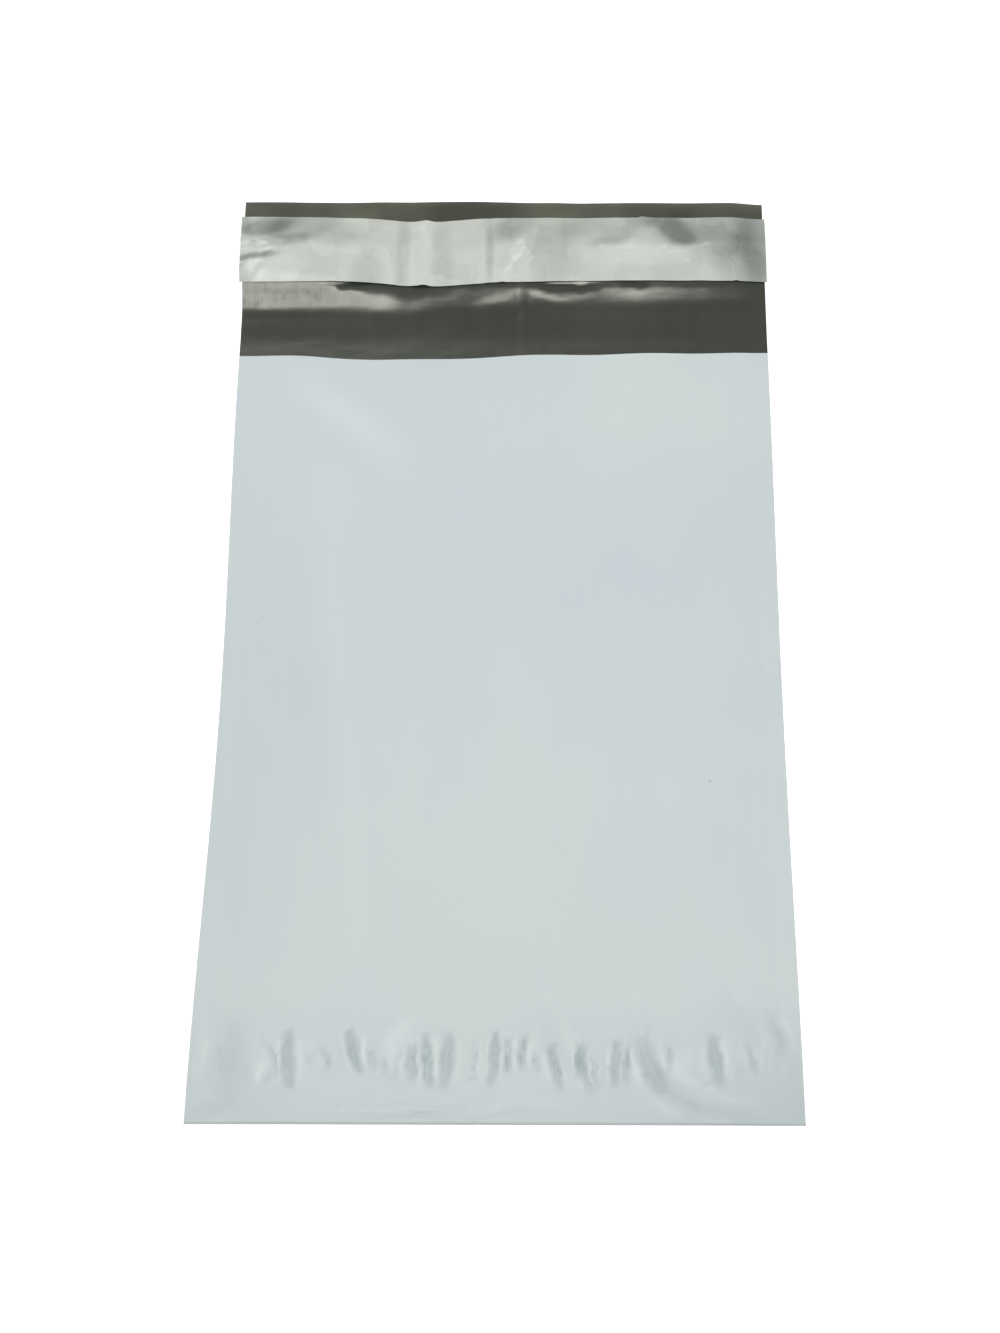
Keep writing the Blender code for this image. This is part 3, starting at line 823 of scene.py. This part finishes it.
# %% The film's white outside
def white_finish():
    material, tree, shader = new_finish("film_white", 0.45)
    place = tree.place()
    x, y, _ = tree.parts(place)
    along = y - fold_y
    painted_shade_and_tone = painted_shade_and_tone_of(tree)
    drift = tree.noise(place, 13.0)
    cloud = tree.noise(place, 48.0, 4.0, 0.55)
    streak = tree.noise(place, 1.0, 3.0, 0.6, (300.0, 9.0, 9.0))
    # Painted light: paler at the top right and low in the middle, where the film catches more light.
    painted_light_corner = (x - 0.045).bell(0.034) * (along - 0.212).bell(0.028)
    painted_light_middle = (x + 0.01).bell(0.03) * (along - 0.062).bell(0.038)
    tone = 1.3 * drift - 0.35 + 0.4 * (cloud - 0.5) + 0.3 * (streak - 0.5)
    tone = (tone + 0.55 * painted_light_corner + 0.4 * painted_light_middle).clamped()
    upper = tree.mix(tone, (0.59, 0.654, 0.684), (0.64, 0.702, 0.688))
    lower = tree.mix(tone, (0.592, 0.65, 0.66), (0.64, 0.696, 0.672))
    colour = tree.mix(along.below(0.09, 0.09), upper, lower)
    # Painted shade: darker over the bottom fold and more so to the right, in the bottom corners, and down
    # the left side of the body, where the film turns away from the light.
    fold_end_shade = along.below(0.016, 0.034)
    corner_shade = abs(x).above(0.055, 0.035) * along.below(0.022, 0.034)
    past_line = x + 0.0415 + 0.108 * (along - 0.1025)
    half_way = along.above(0.05, 0.06) * along.below(0.2, 0.05)
    left_side_shade = past_line.below(-0.004, 0.009) * half_way
    # Painted shade: a thin dark line along the underside of the bottom fold.
    fold_edge_shade = along.below(0.0005, 0.0006)
    shade = (0.2 + 1.4 * x) * fold_end_shade + 0.12 * corner_shade + 0.055 * left_side_shade
    colour = tree.mix(shade, colour, (0.33, 0.4, 0.41))
    colour = tree.mix(0.45 * fold_edge_shade, colour, (0.24, 0.26, 0.26))
    # Painted shade in the puckers' grooves, darkest in their cores, and a painted highlight on their ridges
    # and on the two ridges further up.
    core = (painted_shade_and_tone + 0.5 * (cloud - 0.5)).above(0.42, 0.2)
    colour = tree.mix(0.36 * painted_shade_and_tone.clamped() + 0.09 * core, colour, (0.31, 0.375, 0.4))
    colour = tree.mix((-3.0 * painted_shade_and_tone).clamped() * 0.45, colour, (0.74, 0.79, 0.785))
    dots = specks(tree, place, 90.0, 0.0003, 0.16)
    colour = tree.mix(0.55 * dots, colour, (0.22, 0.25, 0.26))
    in_weld = abs(x).above(pocket_half, 0.0006)
    roughness = 0.4 + 0.1 * cloud + 0.06 * streak - 0.08 * in_weld
    grain = tree.noise(place, 1500.0)
    die_lines = tree.noise(place, 1.0, 2.0, 0.5, (1800.0, 30.0, 30.0))
    crumple = tree.noise(place, 170.0, 3.0, 0.5, (1.0, 0.6, 1.0))
    seal = tree.noise(place, 1.0, 1.0, 0.5, (250.0, 1100.0, 250.0))
    paint(tree, shader, colour, roughness, [(grain, 0.25, 0.00004), (die_lines, 0.25, 0.00004),
                                            (crumple, 0.35, 0.00012), (seal * in_weld, 0.5, 0.00008)])
    return material


# %% The film's dark inside
def grey_finish():
    material, tree, shader = new_finish("film_grey", 1.0)
    shader.inputs["Specular Tint"].default_value = (1.0, 1.0, 0.9, 1.0)
    shader.inputs["IOR"].default_value = 1.56
    place = tree.place()
    _, y, _ = tree.parts(place)
    painted_shade_and_tone = painted_shade_and_tone_of(tree)
    cloud = tree.noise(place, 55.0, 4.0, 0.6, (0.5, 1.0, 1.0))
    streak = tree.noise(place, 1.0, 3.0, 0.6, (380.0, 16.0, 16.0))
    tone = (0.8 * cloud + 0.5 * streak - 0.15).clamped()
    colour = tree.mix(tone, (0.019, 0.023, 0.017), (0.038, 0.043, 0.033))
    patch = tree.noise(place, 34.0, 2.0, 0.5, (1.0, 1.8, 1.0))
    mottle = (3.0 * patch + cloud - 1.5).clamped()
    bare = tree.mix(mottle, (0.042, 0.045, 0.031), (0.104, 0.107, 0.076))
    bare = tree.mix(0.5 * patch * y.above(bag_high[1] - 0.0012, 0.002), bare, (0.2, 0.205, 0.155))
    colour = tree.mix(painted_shade_and_tone.clamped(), colour, bare)
    roughness = 0.18 + 0.1 * cloud + 0.05 * streak
    grain = tree.noise(place, 1400.0)
    die_lines = tree.noise(place, 1.0, 2.0, 0.5, (1500.0, 30.0, 30.0))
    crumple = tree.noise(place, 95.0, 3.0, 0.5, (0.5, 1.2, 1.0))
    paint(tree, shader, colour, roughness, [(grain, 0.22, 0.00004), (die_lines, 0.25, 0.00004),
                                            (crumple, 0.6, 0.0003)])
    return material


# %% The liner and the adhesive
def liner_finish():
    material, tree, shader = new_finish("release_liner")
    place = tree.place()
    painted_shade_and_tone = painted_shade_and_tone_of(tree)
    cloud = tree.noise(place, 120.0, 4.0, 0.6)
    broad = tree.noise(place, 38.0)
    stray = tree.noise(place, 150.0, output=1)
    bent = tree.vector("ADD", place, tree.vector("MULTIPLY", stray, (0.01, 0.01, 0.01)))
    _, facet = cells(tree, bent, 120.0)
    cling = (painted_shade_and_tone + 0.24 * (cloud - 0.5) + 0.36 * (broad - 0.5) + 0.18 * (facet - 0.5)).clamped()
    colour = tree.mix(cling, (0.648, 0.682, 0.63), (0.2, 0.214, 0.196))
    grain = tree.noise(place, 900.0, 3.0)
    crumple = tree.noise(place, 210.0, 4.0, 0.55)
    paint(tree, shader, colour, 0.24 + 0.12 * cloud, [(grain, 0.2, 0.00004), (crumple, 0.5, 0.00022)])
    return material


def adhesive_finish():
    material, tree, shader = new_finish("hot_melt")
    place = tree.place()
    ripple = tree.noise(place, 1.0, 2.0, 0.5, (60.0, 900.0, 60.0))
    colour = tree.mix(ripple, (0.58, 0.53, 0.4), (0.66, 0.62, 0.5))
    paint(tree, shader, colour, 0.18 + 0.12 * ripple, [(ripple, 0.4, 0.00005)])
    return material


# %% [markdown]
# ## The bag
# The skins of the two walls, the fold and the flap are made as grids of places and joined.

# %% Build the bag
fold_turns = [i / 8 for i in range(9)]
inner = slice(weld_columns - 1, len(columns) - weld_columns + 1)
liner_head = liner_foot + liner_width
bare_blend = 0.004
flap_fade_start = 0.004
flap_fade_length = 0.012


def coarse_columns(step):
    """Every so many columns of the flat back wall, with the welds' own lines kept."""
    left, right = weld_columns - 1, len(columns) - weld_columns
    middle = list(range(left, right, step))
    if right - middle[-1] < step / 2:
        middle.pop()
    return [0] + middle + [right, len(columns) - 1]


def build_bag():
    body = FilmBody()
    # Painted shade in the grooves of the puckers; where negative, a painted highlight on their ridges.
    stretch = -pucker_relief / full_shade_depth
    past_liner = smooth((np.array(flap_rows) - liner_head + bare_blend) / bare_blend)
    bare = np.broadcast_to(past_liner[:, None], (len(flap_rows), len(columns)))
    front_out, front_in = (body.skin(front_skin(drop), stretch) for drop in (0.0, film_thickness))
    back_out, back_in = (body.skin(back_skin(lift)) for lift in (0.0, film_thickness))
    fold_out, fold_in = (body.skin(fold_skin(drop, fold_turns)) for drop in (0.0, film_thickness))
    flap_out = body.skin(flap_skin(columns, flap_rows, flap_lift))
    flap_in = body.skin(flap_skin(columns, flap_rows, film_thickness + flap_lift), bare)
    wide = coarse_columns(9)

    body.cover(front_out)
    body.cover(front_in[:, inner], 1)
    around_fold = np.vstack([back_out[:1], fold_out, front_out[:1]])
    body.cover(around_fold)
    body.cover(np.vstack([back_in[:1], fold_in, front_in[:1]])[:, inner], 1)
    body.cover(flap_out)
    body.cover(flap_in, 1)

    for skin, inside in ((back_out, 0), (back_in, 1)):
        for low, high in list(zip(wide, wide[1:]))[inside:len(wide) - 1 - inside]:
            body.face(list(skin[0, low:high + 1]) + [skin[1, high], skin[1, low]], inside)
            for row in range(1, len(body_rows) - 2):
                body.face((skin[row, low], skin[row, high], skin[row + 1, high], skin[row + 1, low]), inside)
            body.face([skin[-2, low], skin[-2, high]] + list(skin[-1, low:high + 1][::-1]), inside)

    for side in (0, -1):
        body.face(around_fold[:, side])
        body.strip(back_out[:-1, side], front_out[:-1, side])
        body.face((back_out[-2, side], back_out[-1, side], back_in[-1, side], front_out[-1, side],
                   front_out[-2, side]))
        body.strip(flap_out[:, side], flap_in[:, side])
    for weld in (slice(0, weld_columns), slice(len(columns) - weld_columns, len(columns))):
        body.strip(front_out[-1, weld], back_in[-1, weld])
    body.strip(front_out[-1, inner], front_in[-1, inner])
    body.strip(flap_out[-1], flap_in[-1])
    return body.finish("mailer_film", [white_finish(), grey_finish()])


flap_fade = smooth((np.array(flap_rows) - flap_fade_start) / flap_fade_length)[:, None]
flap_lift = (flap_relief - flap_relief.min()) * flap_fade
strip_lift = (np.maximum(flap_relief, flap_ridges) - flap_relief.min()) * flap_fade
bag = build_bag()


# %% [markdown]
# ## The adhesive and its liner
# The hot-melt adhesive is a thin band on the flap. The liner is a stiffer, slippery strip that lies over
# it, a little wider than the bag. It is only held where the adhesive is, so it stands up in folds
# elsewhere, and it looks darker where it clings to the dark film.

# %% A thin strip on the flap
def build_strip(name, across_list, distances, base, thickness, lift, material, shift=None, painted_shade_and_tone=0.0):
    body = FilmBody()
    low, high = (body.skin(flap_skin(across_list, distances, height + lift, shift), painted_shade_and_tone)
                 for height in (base, base + thickness))
    body.cover(low)
    body.cover(high)
    for row in (0, -1):
        body.strip(low[row], high[row])
    for column in (0, -1):
        body.strip(low[:, column], high[:, column])
    return body.finish(name, [material])


def lift_under(across_list, distances, shift=None):
    """Height that the flap's own relief adds under a strip, which bridges the dips."""
    rows = np.array([np.interp(across_list, columns, line) for line in strip_lift])
    return read_along(distances, flap_rows, rows.T, shift)


# %% The adhesive
adhesive_columns = evenly(adhesive_inset_left - half_width, half_width - adhesive_inset_right, 0.002)
adhesive_rows = evenly(liner_foot + adhesive_margin, liner_foot + adhesive_margin + adhesive_width, 0.001)
adhesive_base = film_thickness + adhesive_gap
adhesive = build_strip("hot_melt_strip", adhesive_columns, adhesive_rows, adhesive_base, adhesive_thickness,
                       lift_under(adhesive_columns, adhesive_rows), adhesive_finish())

# %% Where the liner clings to the film: across, along from the mouth, two half widths, lean and strength
CLINGS = [
    (-0.07, 0.0418, 0.0068, 0.004, 1.0, 0.62),
    (-0.0768, 0.043, 0.0022, 0.004, 0.0, 0.34),
    (-0.0768, 0.0255, 0.0026, 0.0042, 0.0, 0.4),
    (-0.059, 0.043, 0.01, 0.006, 0.8, 0.46),
    (-0.064, 0.0376, 0.007, 0.0024, 1.6, 0.36),
    (-0.073, 0.0318, 0.0048, 0.0016, 2.4, 0.74),
    (-0.067, 0.029, 0.008, 0.0035, 0.0, -0.12),
    (-0.049, 0.04, 0.0085, 0.0042, 0.4, 0.22),
    (-0.04, 0.0275, 0.005, 0.007, 0.0, 0.22),
    (-0.0295, 0.0345, 0.002, 0.015, 0.0, 0.22),
    (-0.0235, 0.0345, 0.003, 0.02, 0.0, -0.14),
    (-0.018, 0.03, 0.0032, 0.02, 0.0, 0.16),
    (-0.004, 0.033, 0.0012, 0.01, 0.0, 0.3),
    (0.0035, 0.0425, 0.006, 0.0052, 0.6, 0.38),
    (0.015, 0.035, 0.007, 0.015, 0.0, 0.22),
    (0.0245, 0.0425, 0.007, 0.0044, 0.6, 0.32),
    (0.0335, 0.0396, 0.0056, 0.0044, 0.7, 0.3),
    (0.03, 0.0368, 0.0065, 0.0022, 0.8, 0.2),
    (0.04, 0.0448, 0.005, 0.003, -0.6, 0.24),
    (0.044, 0.032, 0.011, 0.0034, 0.0, -0.14),
    (0.0487, 0.043, 0.0061, 0.0066, -0.7, 0.6),
    (0.053, 0.0376, 0.004, 0.0026, 0.0, 0.26),
    (0.0655, 0.04, 0.01, 0.0105, 0.0, 0.36),
    (0.07, 0.029, 0.0085, 0.0095, 0.0, 0.34),
    (0.075, 0.036, 0.006, 0.019, -0.1, 0.44),
]

# %% The liner
liner_step = 0.0006
liner_ridge = 0.15
liner_waves = (0.0007, 0.012, 4.0)
least_lift = 0.0004
liner_columns = evenly(-half_width - liner_overhang_left, half_width + liner_overhang_right, liner_step)
liner_rows = evenly(liner_foot, liner_head, liner_step)
liner_relief = pressed_relief("liner_sheet", liner_columns, liner_rows, LINER_FOLDS, liner_ridge,
                              liner_waves)
liner_base = adhesive_base + adhesive_thickness + liner_gap
liner_across = np.array(liner_columns)
liner_shift = liner_wander * np.exp(-((liner_across - liner_wander_place) / liner_wander_half_width) ** 2)
raised = 0.5 * (liner_relief + np.sqrt(liner_relief ** 2 + least_lift ** 2))
liner_lift = raised + lift_under(liner_columns, liner_rows, liner_shift)


def cling_share():
    """How closely each point of the liner clings to the dark film."""
    across, along = np.meshgrid(liner_columns, liner_rows)
    glue_edge = liner_foot + adhesive_margin + adhesive_width + 0.0008 * np.sin(190 * across + 1.0)
    share = 0.10 + (0.06 + 0.10 * smooth(across / 0.05)) * smooth((along - glue_edge) / 0.003)
    for place, distance, half_across, half_along, lean, strength in CLINGS:
        off = along - distance
        reach = ((across - place - lean * off) / half_across) ** 2 + (off / half_along) ** 2
        share = share + strength * np.exp(-reach ** 2)
    return share


liner = build_strip("liner_strip", liner_columns, liner_rows, liner_base, liner_thickness, liner_lift,
                    liner_finish(), liner_shift, cling_share())

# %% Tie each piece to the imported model
for thing, node, slot in ((bag, "bag_film", "film"), (adhesive, "adhesive_strip", "adhesive"),
                          (liner, "release_liner", "liner")):
    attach(thing, "root")
    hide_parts(node)

# %% [markdown]
# ## Floor, light and camera
# The bag lies on a plain white floor under soft light. The floor and the world turn plain white where the
# camera sees them, and the floor keeps the bag's shadow. The dark film still mirrors the dimmer room, as
# on the real bag.

# %% Floor
def ray_is(tree, *kinds):
    """1 for a ray of one of the kinds, and 0 for any other."""
    rays = tree.tree.nodes.new("ShaderNodeLightPath")
    return sum(Field(tree.tree, rays.outputs["Is " + kind + " Ray"]) for kind in kinds).clamped()


def build_floor():
    half, height = 6.0, -0.0003
    corners = [(-half, -half, height), (half, -half, height), (half, half, height), (-half, half, height)]
    floor = mesh_object("floor", corners, [(0, 1, 2, 3)])
    material, tree, shader = new_finish("floor_white", 0.0)
    shader.inputs["Roughness"].default_value = 0.9
    shader.inputs["Base Color"].default_value = (0.90, 0.90, 0.90, 1.0)
    shader.inputs["Emission Color"].default_value = (1.0, 1.0, 1.0, 1.0)
    tree.feed(shader.inputs["Emission Strength"], ray_is(tree, "Camera", "Glossy", "Transmission") * 0.50)
    floor.data.materials.append(material)


build_floor()


# %% [markdown]
# The world is a plain pale room: bright low down, dimmer overhead, and a little brighter behind the bag
# than in front of it. So the flat dark film, which mirrors the upper room, stays dark. One soft lamp in
# front of the bag lights the slope of the flap.

# %% World and lamp
def build_world():
    world = bpy.data.worlds.new("studio")
    bpy.context.scene.world = world
    world.use_nodes = True
    tree = Tree(world.node_tree)
    side, back, up = tree.parts(tree.add("ShaderNodeTexCoord", output="Generated"))
    low = up.below(0.50, 0.30)
    behind = back.above(0.0, 1.0)
    level = 0.27 + low * (0.16 + 0.66 * behind) * (1.0 - 0.55 * abs(side))
    seen = ray_is(tree, "Camera")
    level = level * (1.0 - seen) + seen
    background = world.node_tree.nodes["Background"]
    background.inputs["Color"].default_value = (1.0, 1.0, 1.0, 1.0)
    tree.feed(background.inputs["Strength"], level)


def soft_lamp(name, place, width, height, power):
    """A rectangle of light that faces the frame's origin, under the middle of the bag."""
    data = bpy.data.lights.new(name, "AREA")
    data.shape = "RECTANGLE"
    data.size, data.size_y = width, height
    data.energy = power
    lamp = bpy.data.objects.new(name, data)
    bpy.context.scene.collection.objects.link(lamp)
    lamp.location = place
    lamp.rotation_euler = (-Vector(place)).to_track_quat("-Z", "Y").to_euler()


build_world()
soft_lamp("overhead", (0.19, -0.78, 2.08), width=1.20, height=1.52, power=31.0)
soft_lamp("low_back", (-0.40, 1.15, 0.90), width=0.80, height=0.50, power=4.0)

# %% [markdown]
# The camera looks down on the bag from its bottom end. Its place was found from the outline of a bag of
# this size in perspective.

# %% Camera
camera_height = 0.571584
camera_place = (centre_x + 0.018019, fold_y - 0.166093, camera_height)
camera_pitch, camera_yaw, camera_roll = 62.813, -3.466, -3.226
focal_pixels = 2373.655
long_side_pixels = 1333
sensor = 36.0


def build_camera():
    data = bpy.data.cameras.new("camera")
    data.sensor_fit = "AUTO"
    data.sensor_width = sensor
    data.lens = focal_pixels * sensor / long_side_pixels
    data.clip_start = 0.01
    camera = bpy.data.objects.new("camera", data)
    bpy.context.scene.collection.objects.link(camera)
    tilt = Matrix.Rotation(math.radians(90 - camera_pitch), 4, "X")
    turn = Matrix.Rotation(math.radians(-camera_yaw), 4, "Z")
    roll = Matrix.Rotation(math.radians(camera_roll), 4, "Z")
    camera.matrix_world = Matrix.Translation(camera_place) @ turn @ tilt @ roll
    bpy.context.scene.camera = camera
    print("lens", round(data.lens, 1), "mm")


build_camera()
bpy.context.scene.view_settings.view_transform = "Standard"
